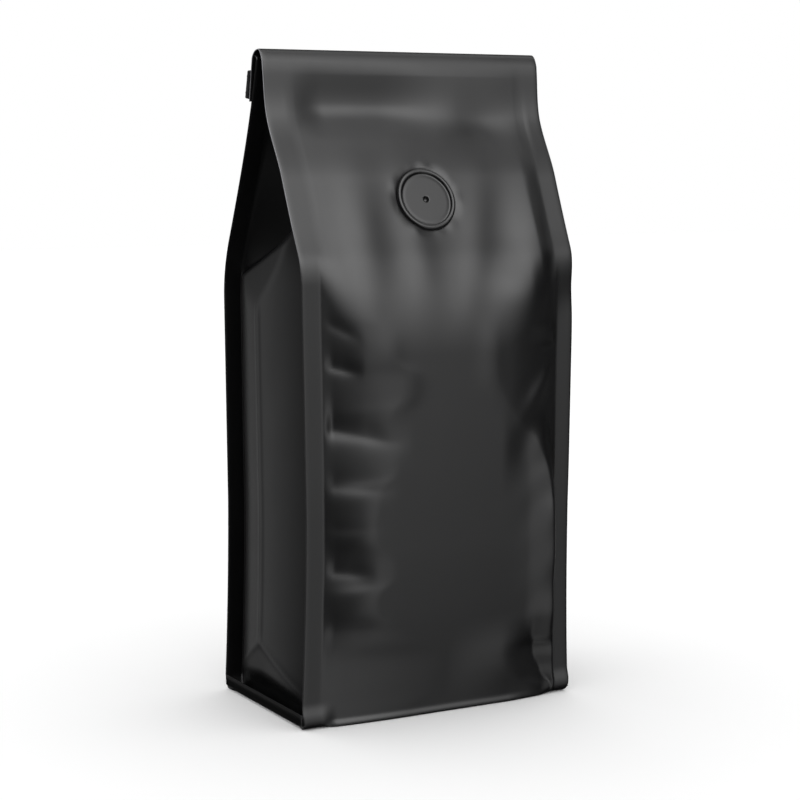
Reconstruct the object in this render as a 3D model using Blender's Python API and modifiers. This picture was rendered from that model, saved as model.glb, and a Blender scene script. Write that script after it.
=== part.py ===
"""Side-gusset, box-bottom coffee bag with corner seals, folded top, tin tie and one-way valve.

Metres, +Z up. The front panel faces -Y. The origin is the middle of the base, on the surface
that the bag stands on.
"""

import math

import bpy
from mathutils import Matrix, Vector

# Width across the corner seals, at three heights
BASE_WIDTH = 0.1082
WAIST_WIDTH = 0.1046
TOP_WIDTH = 0.1096
WAIST_HEIGHT = 0.070

# Front and back walls, as distances from the middle plane
FRONT_DEPTH_BASE = 0.0312
FRONT_DEPTH = 0.0323
BACK_DEPTH_BASE = 0.0318
BACK_DEPTH = 0.0297
WALL_SETTLE_HEIGHT = 0.090

# Sloping upper part, from the shoulder to the folded top
SHOULDER_HEIGHT = 0.163
FRONT_SHOULDER_DEPTH = 0.0299
BACK_SHOULDER_DEPTH = 0.0252
FRONT_SLOPE = (0.445, 0.25)
BACK_SLOPE = (0.50, 0.27)
FRONT_SHOULDER_BLEND = 0.0044
BACK_SHOULDER_BLEND = 0.0070

# Folded top: the film goes up, over and down the back as a short flap
FOLD_CENTRE = (-0.0017, 0.2250)
FOLD_RADIUS = 0.00435
INNER_FOLD_CENTRE = (0.0004, 0.2256)
INNER_FOLD_RADIUS = 0.0013
FLAP_LENGTH = 0.0132
FLAP_DRIFT = 0.0010
FLAP_THICKNESS = 0.00085
FOLD_STEPS = 9
FLAP_STEPS = 3

# Corner seals and the seal round the base
SEAL_WIDTH = 0.0069
SEAL_THICKNESS = 0.0008
BASE_SEAL_HEIGHT = 0.0053
BASE_LEDGE = 0.0004

# How far the filled panels swell between their seals
PANEL_SWELL = 0.0062
SWELL_START = 0.0046
SWELL_FULL = 0.0346
SWELL_FADE_START = 0.118
ROOF_SWELL = 0.0016
SWELL_SQUARENESS = 4.5

# Shallow valley pressed across the front panel under the folded top
TOP_VALLEY_DEPTH = 0.0016
TOP_VALLEY_HEIGHT = 0.2135
TOP_VALLEY_WIDTH = 0.0062

# Side gusset: swollen low down, folded inwards as a V above the shoulder
GUSSET_HALF_FILM = 0.0330
GUSSET_SWELL = 0.0094
GUSSET_SWELL_FULL = 0.022
GUSSET_TURN_START = 0.130
GUSSET_TURN_END = 0.177
PLEAT_START = 0.150
PLEAT_END = 0.176
PLEAT_SLOPE = 0.93
PLEAT_SLANT = 0.5
PLEAT_DEPTH = 0.0035
GUSSET_TOP = 0.2215

# Ring layout
PANEL_POINTS = 9
GUSSET_POINTS = 6
HEIGHT_ZONES = (
    (BASE_SEAL_HEIGHT + BASE_LEDGE, 0.034, 6),
    (0.034, 0.118, 5),
    (0.118, 0.146, 4),
    (0.146, 0.178, 13),
    (0.178, GUSSET_TOP, 9),
)

# One-way valve, on the front slope
VALVE_X = -0.0013
VALVE_HEIGHT = 0.1787
VALVE_RADIUS = 0.0111
VALVE_DISC_RADIUS = 0.0086
VALVE_SEAT = -0.0009
VALVE_DISC_TOP = 0.0002
VALVE_RIM_TOP = 0.0009
PINHOLE_RADIUS = 0.0009
PINHOLE_DEPTH = 0.0007
CLEARANCE = 0.0003
TURN_STEPS = 48

# Tin tie, across the back of the flap, with its ends folded back
TIE_HEIGHT = 0.0094
TIE_THICKNESS = 0.0011
TIE_OVERHANG = 0.0010
TIE_RETURN = 0.0048
TIE_BEND_RADIUS = 0.0018
TIE_TILT = math.radians(7)
TIE_MIDDLE_HEIGHT = 0.2172
BEND_STEPS = 6


def smooth_step(value, low, high):
    """0 below low, 1 above high, with an even S-curve between them."""
    t = min(max((value - low) / (high - low), 0.0), 1.0)
    return t * t * (3 - 2 * t)


def mix(a, b, t):
    return a + (b - a) * t


def soft_min(a, b, blend):
    """The smaller of two numbers, rounded over where they differ by less than blend."""
    h = max(blend - abs(a - b), 0.0) / blend
    return min(a, b) - h * h * blend / 4


def slope_curve(z, low, high, slopes):
    """Distance along a curve from (z, y) low to high that leaves and arrives with the slopes."""
    span = high[0] - low[0]
    rise = low[1] - high[1]
    t = (z - low[0]) / span
    if t < 0:
        return low[1] - slopes[0] * (z - low[0])
    start, end = (slope * span / rise for slope in slopes)
    shape = 2 * t**3 - 3 * t**2 + 1 - start * (t**3 - 2 * t**2 + t) - end * (t**3 - t**2)
    return high[1] + rise * shape


def half_width(z):
    """Half the width across the seals: narrowest at the waist."""
    if z < WAIST_HEIGHT:
        low = 1 - z / WAIST_HEIGHT
        return (WAIST_WIDTH + (BASE_WIDTH - WAIST_WIDTH) * low**2) / 2
    high = min((z - WAIST_HEIGHT) / (FOLD_CENTRE[1] - WAIST_HEIGHT), 1.0)
    return (WAIST_WIDTH + (TOP_WIDTH - WAIST_WIDTH) * high**1.5) / 2


def seal_root(z):
    """Where a corner seal joins the panels, as a distance from the middle."""
    return half_width(z) - SEAL_WIDTH


def front_plane(z):
    """Y of the front seals."""
    wall = mix(FRONT_DEPTH_BASE, FRONT_DEPTH, smooth_step(z, 0, WALL_SETTLE_HEIGHT))
    top = (FOLD_CENTRE[1], FOLD_RADIUS - FOLD_CENTRE[0])
    slope = slope_curve(z, (SHOULDER_HEIGHT, FRONT_SHOULDER_DEPTH), top, FRONT_SLOPE)
    return -soft_min(wall, slope, FRONT_SHOULDER_BLEND)


def back_plane(z):
    """Y of the back seals."""
    wall = mix(BACK_DEPTH_BASE, BACK_DEPTH, min(z / (2 * WALL_SETTLE_HEIGHT), 1.0))
    top = (INNER_FOLD_CENTRE[1], INNER_FOLD_CENTRE[0] - INNER_FOLD_RADIUS)
    slope = slope_curve(z, (SHOULDER_HEIGHT, BACK_SHOULDER_DEPTH), top, BACK_SLOPE)
    return soft_min(wall, slope, BACK_SHOULDER_BLEND)


def swell(x, z):
    """How far a front or back panel stands out from the plane of its seals."""
    full = 1 - (1 - min(max((z - SWELL_START) / (SWELL_FULL - SWELL_START), 0.0), 1.0)) ** 3
    filled = PANEL_SWELL * full * (1 - smooth_step(z, SWELL_FADE_START, SHOULDER_HEIGHT))
    roof = ROOF_SWELL * smooth_step(z, SWELL_FADE_START, SHOULDER_HEIGHT)
    roof *= 1 - smooth_step(z, SHOULDER_HEIGHT, FOLD_CENTRE[1])
    across = 1 - min(abs(x) / seal_root(z), 1.0) ** SWELL_SQUARENESS
    return (filled + roof) * across


def front_swell(x, z):
    """The front panel's swell, less the valley under the folded top."""
    from_seal = seal_root(z) - abs(x)
    valley = TOP_VALLEY_DEPTH * math.exp(-(((z - TOP_VALLEY_HEIGHT) / TOP_VALLEY_WIDTH) ** 2))
    return swell(x, z) - valley * smooth_step(from_seal, 0, 2 * TOP_VALLEY_WIDTH)


def gusset_crease(z):
    """X of the gusset's middle crease: proud of the seals low down, deep inside above."""
    root = seal_root(z)
    bulge = smooth_step(z, BASE_SEAL_HEIGHT - 0.003, GUSSET_SWELL_FULL)
    swollen = root + GUSSET_SWELL * bulge
    half_gap = (back_plane(z) - front_plane(z)) / 2
    folded = root - math.sqrt(max(GUSSET_HALF_FILM**2 - half_gap**2, 0.0))
    return mix(swollen, folded, smooth_step(z, GUSSET_TURN_START, GUSSET_TURN_END))


def gusset_half(z, root, middle, side):
    """Points from a seal root to the middle crease: a swell, or a pleat above the shoulder.

    side is -1 for the front half and 1 for the back half. The bend is a control point that the
    curve rounds: far out on the swell, and turned inwards where the diagonal pleat runs.
    """
    crease = Vector((gusset_crease(z), middle))
    straight = root.lerp(crease, 0.4)
    out = Vector((mix(root.x, crease.x, 0.85), mix(root.y, crease.y, 0.35)))
    reach = PLEAT_SLOPE * max(z - PLEAT_START, 0.0)
    pleat = root + Vector((-reach, -side * PLEAT_SLANT * reach))
    pleat.x -= PLEAT_DEPTH * smooth_step(z, PLEAT_START, SHOULDER_HEIGHT)
    bend = out.lerp(pleat, smooth_step(z, GUSSET_TURN_START, PLEAT_START + 0.006))
    bend = bend.lerp(straight, smooth_step(z, SHOULDER_HEIGHT + 0.003, PLEAT_END))
    points = []
    for step in range(1, GUSSET_POINTS):
        t = step / GUSSET_POINTS
        points.append(root * (1 - t) ** 2 + bend * (2 * t * (1 - t)) + crease * t**2)
    return points, crease


def panel_xs(root):
    """X values from the middle of a panel to its seal, closer together near the seal."""
    last = PANEL_POINTS - 1
    return [root * math.sin(math.pi / 2 * i / last) for i in range(PANEL_POINTS)]


def body_half_ring(z):
    """Half of a level section, from the middle of the front to the middle of the back."""
    root_x, edge_x = seal_root(z), half_width(z)
    front, back = front_plane(z), back_plane(z)
    xs = panel_xs(root_x)
    front_root = Vector((root_x, front + SEAL_THICKNESS))
    back_root = Vector((root_x, back - SEAL_THICKNESS))
    middle = (front + back) / 2
    front_gusset, crease = gusset_half(z, front_root, middle, -1)
    back_gusset, _ = gusset_half(z, back_root, middle, 1)
    ring = [Vector((x, front - front_swell(x, z))) for x in xs]
    ring += [Vector((edge_x, front)), Vector((edge_x, front_root.y)), front_root]
    ring += front_gusset + [crease] + back_gusset[::-1]
    ring += [back_root, Vector((edge_x, back_root.y)), Vector((edge_x, back))]
    ring += [Vector((x, back + swell(x, z))) for x in reversed(xs)]
    return [Vector((point.x, point.y, z)) for point in ring]


def plain_half_ring(front, back, height_of_width):
    """Half of a section with straight sides, between a front point and a back point (y, z)."""
    edge_x = half_width(height_of_width)
    xs = panel_xs(seal_root(height_of_width))
    front, back = Vector((0, *front)), Vector((0, *back))
    sides = 2 * GUSSET_POINTS + 5
    ring = [front + Vector((x, 0, 0)) for x in xs]
    ring += [front.lerp(back, i / (sides - 1)) + Vector((edge_x, 0, 0)) for i in range(sides)]
    ring += [back + Vector((x, 0, 0)) for x in reversed(xs)]
    return ring


def around_fold(centre, radius, turn):
    """(y, z) on a fold's arc: turn is 0 at the front and pi at the back."""
    return centre[0] - radius * math.cos(turn), centre[1] + radius * math.sin(turn)


def half_rings():
    """All sections in order: base seal, body, over the fold, and down the flap."""
    rings = []
    for z in (0.0, BASE_SEAL_HEIGHT):
        rings.append(plain_half_ring((front_plane(z), z), (back_plane(z), z), z))
    for low, high, steps in HEIGHT_ZONES:
        rings += [body_half_ring(mix(low, high, i / steps)) for i in range(steps)]
    rings.append(body_half_ring(GUSSET_TOP))
    top = FOLD_CENTRE[1]
    for step in range(FOLD_STEPS + 1):
        turn = math.pi * step / FOLD_STEPS
        outer = around_fold(FOLD_CENTRE, FOLD_RADIUS, turn)
        inner = around_fold(INNER_FOLD_CENTRE, INNER_FOLD_RADIUS, turn)
        rings.append(plain_half_ring(outer, inner, top))
    for step in range(1, FLAP_STEPS + 1):
        t = step / FLAP_STEPS
        y = outer[0] + FLAP_DRIFT * t
        z = top - FLAP_LENGTH * t
        rings.append(plain_half_ring((y, z), (y - FLAP_THICKNESS, z), top))
    return rings


def whole_ring(half):
    """A half section and its mirror image, as one closed loop."""
    mirrored = [Vector((-point.x, point.y, point.z)) for point in reversed(half[1:-1])]
    return half + mirrored


def cap_faces(first, count, reverse):
    """Faces that close an end ring, pairing each front point with the one behind it."""
    half, panels = count // 2, PANEL_POINTS - 1
    loops = [[i, i + 1, half - i - 1, half - i] for i in range(panels)]
    loops.append(list(range(panels, half - panels + 1)))
    loops += [[(count - k) % count for k in reversed(loop)] for loop in loops]
    return [[first + k for k in (loop[::-1] if reverse else loop)] for loop in loops]


def loft(name, rings):
    """A closed mesh through rings of equal count."""
    count = len(rings[0])
    points = [point for ring in rings for point in ring]
    faces = cap_faces(0, count, True)
    for level in range(len(rings) - 1):
        low, high = level * count, (level + 1) * count
        for i in range(count):
            j = (i + 1) % count
            faces.append((low + i, low + j, high + j, high + i))
    faces += cap_faces((len(rings) - 1) * count, count, False)
    mesh = bpy.data.meshes.new(name)
    mesh.from_pydata(points, [], faces)
    mesh.validate()
    return mesh


def make_material(name, colour, roughness, metallic=0.0):
    material = bpy.data.materials.new(name)
    material.use_nodes = True
    shader = material.node_tree.nodes["Principled BSDF"]
    shader.inputs["Base Color"].default_value = (*colour, 1)
    shader.inputs["Roughness"].default_value = roughness
    shader.inputs["Metallic"].default_value = metallic
    return material


def make_object(name, mesh, collection, material=None):
    obj = bpy.data.objects.new(name, mesh)
    collection.objects.link(obj)
    if material:
        mesh.materials.append(material)
    return obj


def shade(mesh, angle):
    mesh.shade_smooth()
    mesh.set_sharp_from_angle(angle=math.radians(angle))


def valve_frame():
    """Place of the valve's seat: on the front slope, its axis along the outward normal."""
    step = 0.004
    y, above, below = (
        front_plane(z) - front_swell(VALVE_X, z)
        for z in (VALVE_HEIGHT, VALVE_HEIGHT + step, VALVE_HEIGHT - step)
    )
    lean = math.atan2(above - below, 2 * step)
    return Matrix.Translation((VALVE_X, y, VALVE_HEIGHT)) @ Matrix.Rotation(
        math.radians(90) - lean, 4, "X"
    )


def valve_profile():
    """Right half of the valve's section, from the axis over the rim to the seat."""
    rim_middle = (VALVE_DISC_RADIUS + VALVE_RADIUS) / 2
    rim_half = (VALVE_RADIUS - VALVE_DISC_RADIUS) / 2
    points = [(0, VALVE_DISC_TOP - PINHOLE_DEPTH), (PINHOLE_RADIUS, VALVE_DISC_TOP - PINHOLE_DEPTH)]
    points.append((PINHOLE_RADIUS, VALVE_DISC_TOP))
    for step in range(BEND_STEPS + 1):
        turn = math.pi * step / BEND_STEPS
        x = rim_middle - rim_half * math.cos(turn)
        points.append((x, VALVE_DISC_TOP + (VALVE_RIM_TOP - VALVE_DISC_TOP) * math.sin(turn)))
    points += [(VALVE_RADIUS, VALVE_SEAT), (0, VALVE_SEAT)]
    return points


def turned(name, profile, collection, material=None):
    """A profile of (radius, height) points turned round Z."""
    mesh = bpy.data.meshes.new(name)
    points = [(radius, 0, height) for radius, height in profile]
    edges = [(i, i + 1) for i in range(len(points) - 1)]
    mesh.from_pydata(points, edges, [])
    obj = make_object(name, mesh, collection, material)
    screw = obj.modifiers.new("Turn", "SCREW")
    screw.steps = screw.render_steps = TURN_STEPS
    screw.use_merge_vertices = True
    screw.merge_threshold = 0.00001
    screw.use_smooth_shade = True
    return obj


def cut_valve_seat(pouch, frame, cutters):
    """Sinks a round seat for the valve into the front slope."""
    floor = VALVE_SEAT - CLEARANCE
    radius = VALVE_RADIUS + CLEARANCE
    top = floor + 10 * CLEARANCE + VALVE_RIM_TOP
    profile = [(0, top), (radius, top), (radius, floor), (0, floor)]
    cutter = turned("valve_seat_cutter", profile, cutters)
    cutter.matrix_world = frame
    cutter.hide_render = True
    cutter.display_type = "WIRE"
    cut = pouch.modifiers.new("Valve seat", "BOOLEAN")
    cut.operation = "DIFFERENCE"
    cut.solver = "EXACT"
    cut.object = cutter


def tie_outline():
    """Plan of the tie: a flat strip whose two ends turn back on themselves."""
    reach = TOP_WIDTH / 2 + TIE_OVERHANG
    outer, inner = TIE_BEND_RADIUS, TIE_BEND_RADIUS - TIE_THICKNESS
    depth = 2 * TIE_BEND_RADIUS
    bend_x = reach - outer
    half = [(bend_x, 0.0)]
    for step in range(1, 2 * BEND_STEPS + 1):
        turn = math.pi * step / (2 * BEND_STEPS)
        half.append((bend_x + outer * math.sin(turn), outer - outer * math.cos(turn)))
    half += [(reach - TIE_RETURN, depth), (reach - TIE_RETURN, depth - TIE_THICKNESS)]
    for step in range(2 * BEND_STEPS + 1):
        turn = math.pi * (1 - step / (2 * BEND_STEPS))
        half.append((bend_x + inner * math.sin(turn), outer - inner * math.cos(turn)))
    return half + [(-x, y) for x, y in reversed(half)]


def make_tie(collection, material):
    curve = bpy.data.curves.new("tin_tie_outline", "CURVE")
    curve.dimensions = "2D"
    curve.fill_mode = "BOTH"
    curve.extrude = TIE_HEIGHT / 2
    spline = curve.splines.new("POLY")
    outline = tie_outline()
    spline.points.add(len(outline) - 1)
    for point, (x, y) in zip(spline.points, outline, strict=True):
        point.co = (x, y, 0, 1)
    spline.use_cyclic_u = True
    curve.materials.append(material)
    tie = bpy.data.objects.new("tin_tie", curve)
    collection.objects.link(tie)
    up = (TIE_MIDDLE_HEIGHT - FOLD_CENTRE[1]) / -FLAP_LENGTH
    flap_y = FOLD_CENTRE[0] + FOLD_RADIUS + FLAP_DRIFT * up
    stand_off = TIE_HEIGHT / 2 * math.sin(TIE_TILT - math.atan2(FLAP_DRIFT, FLAP_LENGTH))
    tie.location = (0, flap_y + CLEARANCE + stand_off, TIE_MIDDLE_HEIGHT)
    tie.rotation_euler = (TIE_TILT, 0, 0)


def main():
    for obj in list(bpy.data.objects):
        bpy.data.objects.remove(obj, do_unlink=True)
    parts = bpy.data.collections.new("coffee_bag")
    cutters = bpy.data.collections.new("cutters")
    for collection in (parts, cutters):
        bpy.context.scene.collection.children.link(collection)

    film = make_material("black_film", (0.012, 0.012, 0.013), 0.42)
    valve_plastic = make_material("valve_plastic", (0.014, 0.014, 0.015), 0.38)
    tie_cover = make_material("tie_cover", (0.016, 0.016, 0.017), 0.50)

    pouch_mesh = loft("pouch", [whole_ring(half) for half in half_rings()])
    shade(pouch_mesh, 32)
    pouch = make_object("pouch", pouch_mesh, parts, film)
    frame = valve_frame()
    cut_valve_seat(pouch, frame, cutters)
    valve = turned("valve", valve_profile(), parts, valve_plastic)
    valve.matrix_world = frame
    make_tie(parts, tie_cover)


main()
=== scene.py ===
import math

import bpy
import numpy as np
from mathutils import Matrix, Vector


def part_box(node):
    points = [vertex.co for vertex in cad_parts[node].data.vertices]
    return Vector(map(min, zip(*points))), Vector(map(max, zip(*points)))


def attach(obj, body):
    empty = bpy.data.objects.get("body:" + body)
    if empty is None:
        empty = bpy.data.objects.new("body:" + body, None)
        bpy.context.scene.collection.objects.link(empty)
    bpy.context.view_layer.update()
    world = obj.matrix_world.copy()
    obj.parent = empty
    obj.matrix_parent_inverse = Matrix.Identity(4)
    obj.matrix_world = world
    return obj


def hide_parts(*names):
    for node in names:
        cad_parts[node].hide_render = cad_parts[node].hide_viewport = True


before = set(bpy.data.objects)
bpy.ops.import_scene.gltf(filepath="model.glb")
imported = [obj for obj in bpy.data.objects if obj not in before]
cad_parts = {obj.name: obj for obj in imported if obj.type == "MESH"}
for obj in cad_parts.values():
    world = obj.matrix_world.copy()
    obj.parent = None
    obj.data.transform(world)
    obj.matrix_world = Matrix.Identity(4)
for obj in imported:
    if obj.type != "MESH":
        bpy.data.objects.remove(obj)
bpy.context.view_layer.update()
_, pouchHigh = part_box("pouch")
valveLow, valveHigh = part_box("valve")
tieLow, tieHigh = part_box("tin_tie")
print("frame loaded:", sorted(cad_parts))

scene = bpy.context.scene


# small helpers

def smoothStep(value, low, high):
    t = np.clip((value - low) / (high - low), 0.0, 1.0)
    return t * t * (3 - 2 * t)


def mix(a, b, t):
    return a + (b - a) * t


def softMin(a, b, blend):
    h = np.maximum(blend - np.abs(a - b), 0.0) / blend
    return np.minimum(a, b) - h * h * blend / 4


def bump(value, centre, width):  # a smooth hill, 1 at its centre and about 0.02 two widths away
    return np.exp(-((value - centre) / width) ** 2)


# pouch: sizes in metres

pouch = dict(
    # outline of the walls, the shoulders and the folded top
    waistWidth=0.1050, waistHeight=0.070, baseWidth=0.1082, topWidth=0.1096,
    frontDepthBase=0.0312, frontDepth=0.0325, backDepthBase=0.0318, backDepth=0.0297,
    wallSettleHeight=0.090, shoulderHeight=0.163,
    frontShoulderDepth=0.0295, backShoulderDepth=0.0252,
    frontSlope=(0.445, 0.25), backSlope=(0.50, 0.27),
    frontShoulderBlend=(0.0024, 0.0075), backShoulderBlend=(0.0050, 0.0090),
    foldRadius=0.00435, foldY=-0.0017, crestY=-0.0024, foldDepth=(0.030, 0.004), crestLead=0.30,
    innerFoldRadius=0.0013, innerFoldY=0.0004, innerFoldRise=0.0006,
    flapLength=0.0132, flapDrift=0.0021, flapThickness=0.0006, flapDepth=0.002,
    # seals
    sealWidth=0.0069, filmThickness=0.0005, sealLine=0.00003, sealLineTop=(0.150, 0.165),
    # the cut edge of the front seals is faintly pale, with a painted highlight along it that grows over the shoulder
    # slope
    seamBend=0.0010, seamBendAt=(0.1480, 0.0085), edgeHighlightHeights=(0.150, 0.175), cutEdgeAndHighlightShown=(0.03, 0.85),
    baseSealHeight=0.0053, baseLedge=0.0003, baseWall=0.00015, baseGroove=0.0037,
    baseSealLean=0.0009, baseSealLeanMiddle=0.8,
    baseEdgeRadius=0.0020, panelEdgeRadius=0.0008, sideEdgeRadius=0.0004,
    # side gussets, the folded triangle at their foot and the tuck at their top
    gussetHalfFilm=0.0330, gussetSwell=0.0088, gussetTop=0.2215,
    frontBend=(0.80, 0.50), backBend=(0.84, 0.44), footBend=(0.92, 0.44), footBendTop=(0.008, 0.026),
    gussetRoll=0.0085, gussetRollFrom=0.6, gussetRollBlend=0.0030, gussetRollTop=0.09,
    gussetApex=0.0245, apexFall=0.56, apexDepth=0.13, apexLine=0.00025,
    creaseRidge=0.0005, creaseRidgeFrom=(0.022, 0.030),
    tuckHeight=0.1594, tuckClimb=0.374, tuckOut=0.0050, tuckSlope=(1.5, 0.75), tuckTurn=(-0.4, 0.8), tuckBlend=0.0006,
    facetSlope=0.23, facetBlend=0.0007,
    # filled panels: how far they stand out from the plane of the seals, and the fall to each seal
    frontFill=0.0066, backFill=0.0058, fillAtBase=0.25, fillRise=0.060, fillRisePower=1.7,
    fillFade=0.22, fillFadeFrom=0.080, fallShape=1.8, crown=0.0006,
    valleyStart=0.004, valleyFade=0.45, foldStart=0.0025, foldFlanks=(1.35, 0.8), riseFade=(0.0030, 0.0150),
    fallRidge=0.0004, fallRidgeWidth=0.0045, fallRidgeFrom=(0.100, 0.120), fallRidgeTo=(0.125, 0.142),
    # the front over the shoulder, and pressed in under the folded top
    shoulderLift=0.00025, shoulderLiftAt=(0.1600, 0.0045), uprightAt=0.166, uprightReach=(0.023, 0.020), leanFrom=0.160,
    topValley=0.0052, topValleyFrom=(0.186, 0.2070), topValleyTo=(0.2060, 0.2280), sealPress=0.58,
    panelPress=0.37, panelPressFade=0.40, panelPressSide=(-0.012, 0.020), panelPressFrom=(0.1980, 0.2110),
    seatDepth=0.0015,
    # the foot of the front, and its lower right corner
    bottomFlare=0.0011, baseRoll=0.0008, baseRollTop=(0.0006, 0.0032), baseRollRight=(0.008, 0.020),
    footFall=0.24, cornerSlope=0.38, cornerBlend=0.0022, cornerTop=(0.018, 0.034),
    cornerBulge=0.0018, cornerBulgeTop=(0.014, 0.046), cornerBulgeSide=(0.022, 0.046),
    cornerBulgeFoot=0.1, cornerBulgeRise=0.016,
    # mesh density
    frontPoints=58, backPoints=40, gussetPoints=20, bodyRows=226, foldSteps=22, flapRows=12,
)
foldTopHeight = pouchHigh.z - pouch["foldRadius"]


def slopeCurve(z, low, high, slopes):
    span, rise = high[0] - low[0], low[1] - high[1]
    t = (z - low[0]) / span
    start, end = (slope * span / rise for slope in slopes)
    shape = 2 * t**3 - 3 * t**2 + 1 - start * (t**3 - 2 * t**2 + t) - end * (t**3 - t**2)
    return np.where(t < 0, low[1] - slopes[0] * (z - low[0]), high[1] + rise * shape)


def edgeInset(z, radius):  # the lowest edge is rounded over, more at the front and back than at the sides
    return radius - np.sqrt(radius**2 - np.clip(radius - z, 0, None) ** 2)


def halfWidth(z):
    low = np.clip(1 - z / pouch["waistHeight"], 0, 1)
    high = np.clip((z - pouch["waistHeight"]) / (foldTopHeight - pouch["waistHeight"]), 0, 1)
    return (pouch["waistWidth"] + (pouch["baseWidth"] - pouch["waistWidth"]) * low**2
            + (pouch["topWidth"] - pouch["waistWidth"]) * high) / 2 - edgeInset(z, pouch["sideEdgeRadius"])


def sealRoot(z):
    return halfWidth(z) - pouch["sealWidth"]


def topValley(z):  # pressed in under the folded top
    return pouch["topValley"] * (1 - smoothStep(z, *pouch["topValleyTo"])) * smoothStep(z, *pouch["topValleyFrom"])


def seamFlare(z):  # the front seals open out a little at the bottom
    return pouch["bottomFlare"] * (1 - smoothStep(z, 0.003, 0.0095)) * smoothStep(z, 0.0, 0.003)


def frontLift(z):  # the front seals also lift a little over the shoulder and dip under the top
    lift = pouch["shoulderLift"] * bump(z, *pouch["shoulderLiftAt"])
    return seamFlare(z) + lift - pouch["sealPress"] * topValley(z)


def frontPlane(z, full=0.0):  # full is how far the filled panel stands out; the slope above the shoulder cuts it off
    wall = mix(pouch["frontDepthBase"], pouch["frontDepth"], smoothStep(z, 0, pouch["wallSettleHeight"]))
    top = (foldTopHeight, pouch["foldRadius"] - pouch["foldY"])
    slope = slopeCurve(z, (pouch["shoulderHeight"], pouch["frontShoulderDepth"]), top, pouch["frontSlope"])
    blend = mix(*pouch["frontShoulderBlend"], np.clip(full / pouch["frontFill"], 0, 1))
    return -softMin(wall + full, slope, blend) + edgeInset(z, pouch["baseEdgeRadius"]) - frontLift(z)


def backPlane(z, full=0.0):
    wall = mix(pouch["backDepthBase"], pouch["backDepth"], np.clip(z / (2 * pouch["wallSettleHeight"]), 0, 1))
    top = (foldTopHeight + pouch["innerFoldRise"], pouch["innerFoldY"] - pouch["innerFoldRadius"])
    slope = slopeCurve(z, (pouch["shoulderHeight"], pouch["backShoulderDepth"]), top, pouch["backSlope"])
    blend = mix(*pouch["backShoulderBlend"], np.clip(full / pouch["backFill"], 0, 1))
    return softMin(wall + full, slope, blend) - edgeInset(z, pouch["baseEdgeRadius"])


# width of the fall from the full panel to each seal of the front, by height
leftFalls = ((0.000, 0.030), (0.010, 0.044), (0.020, 0.046), (0.030, 0.030), (0.040, 0.018), (0.0565, 0.025),
             (0.0665, 0.016), (0.077, 0.018), (0.092, 0.026), (0.1035, 0.022), (0.116, 0.028), (0.130, 0.021),
             (0.145, 0.019), (0.160, 0.017))
rightFalls = ((0.000, 0.0045), (0.015, 0.0045), (0.030, 0.0045), (0.045, 0.0045), (0.060, 0.0046), (0.074, 0.0050),
              (0.085, 0.0060), (0.095, 0.012), (0.105, 0.023), (0.115, 0.029), (0.130, 0.029), (0.145, 0.029),
              (0.160, 0.030))
frontFalls, backFalls = (leftFalls, rightFalls), (rightFalls, leftFalls)


def byHeight(z, rows, spread=0.006):  # a smooth line through values given by height
    z = np.clip(z, rows[0][0], rows[-1][0])
    total, weights = 0 * z, 0 * z
    for height, value in rows:
        weight = bump(z, height, spread) + 1e-9
        total, weights = total + weight * value, weights + weight
    return total / weights


def fallWidth(x, z, falls):
    return np.where(x < 0, byHeight(z, falls[0]), byHeight(z, falls[1], 0.008))


def swell(x, z, height, falls):
    rise = np.clip(z / pouch["fillRise"], 0, 1)
    up = pouch["fillAtBase"] + (1 - pouch["fillAtBase"]) * (1 - (1 - rise) ** pouch["fillRisePower"])
    up = up * (1 - pouch["fillFade"] * np.clip((z - pouch["fillFadeFrom"]) / pouch["fillFadeFrom"], 0, 1.5) ** 2)
    d = sealRoot(z) - np.abs(x)
    return height * up * (1 - (1 - np.clip(d / fallWidth(x, z, falls), 0, 1)) ** pouch["fallShape"])


def crown(x, z):  # the middle a little fuller than the sides, with a faint ridge where the fall to the seal starts
    d = sealRoot(z) - np.abs(x)
    middle = pouch["crown"] * (1 - (x / sealRoot(z)) ** 2) * smoothStep(z, 0.005, 0.04) * np.clip(d / 0.004, 0, 1)
    edge = bump(d, fallWidth(x, z, frontFalls) + 0.4 * pouch["fallRidgeWidth"], pouch["fallRidgeWidth"])
    edge = pouch["fallRidge"] * edge * smoothStep(z, *pouch["fallRidgeFrom"])
    return middle + edge * (1 - smoothStep(z, *pouch["fallRidgeTo"]))


# valleys pulled in by the left seal: height at the seal, climb per metre away from it, length, depth,
# and how quickly the film comes out again above and below
pulledValleys = (
    (0.1395, -0.55, 0.014, 0.0004, 0.0045, 0.0025),
    (0.1248, -0.25, 0.014, 0.0009, 0.0065, 0.0024),
    (0.1035, -0.20, 0.031, 0.0018, 0.0090, 0.0050),
    (0.0838, -0.10, 0.026, 0.0007, 0.0060, 0.0036),
    (0.0690, 0.00, 0.021, 0.0003, 0.0040, 0.0030),
    (0.0548, -0.12, 0.018, 0.0009, 0.0060, 0.0032),
    (0.0330, 0.10, 0.024, 0.0004, 0.0060, 0.0050),
)
# folds standing along the right seal: height, distance from the seal, half height, half width, climb, how far out
standingFolds = (
    (0.1130, 0.0075, 0.0050, 0.0060, -0.9, 0.0009),
    (0.0960, 0.0070, 0.0070, 0.0064, -0.9, 0.0006),
    (0.0830, 0.0085, 0.0070, 0.0075, -0.8, 0.0003),
    (0.0660, 0.0060, 0.0080, 0.0060, -0.7, 0.0006),
    (0.0500, 0.0060, 0.0080, 0.0060, -0.5, 0.0006),
    (0.0300, 0.0045, 0.0085, 0.0050, -0.3, 0.0007),
)
# how far the film rises towards the right seal, by height
rightRise = ((0.000, 0.0006), (0.022, 0.0014), (0.034, 0.0015), (0.044, 0.0011), (0.054, 0.0014), (0.068, 0.0013),
             (0.078, 0.0009), (0.090, 0.0006), (0.102, 0.0000), (0.160, 0.0000))
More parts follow.
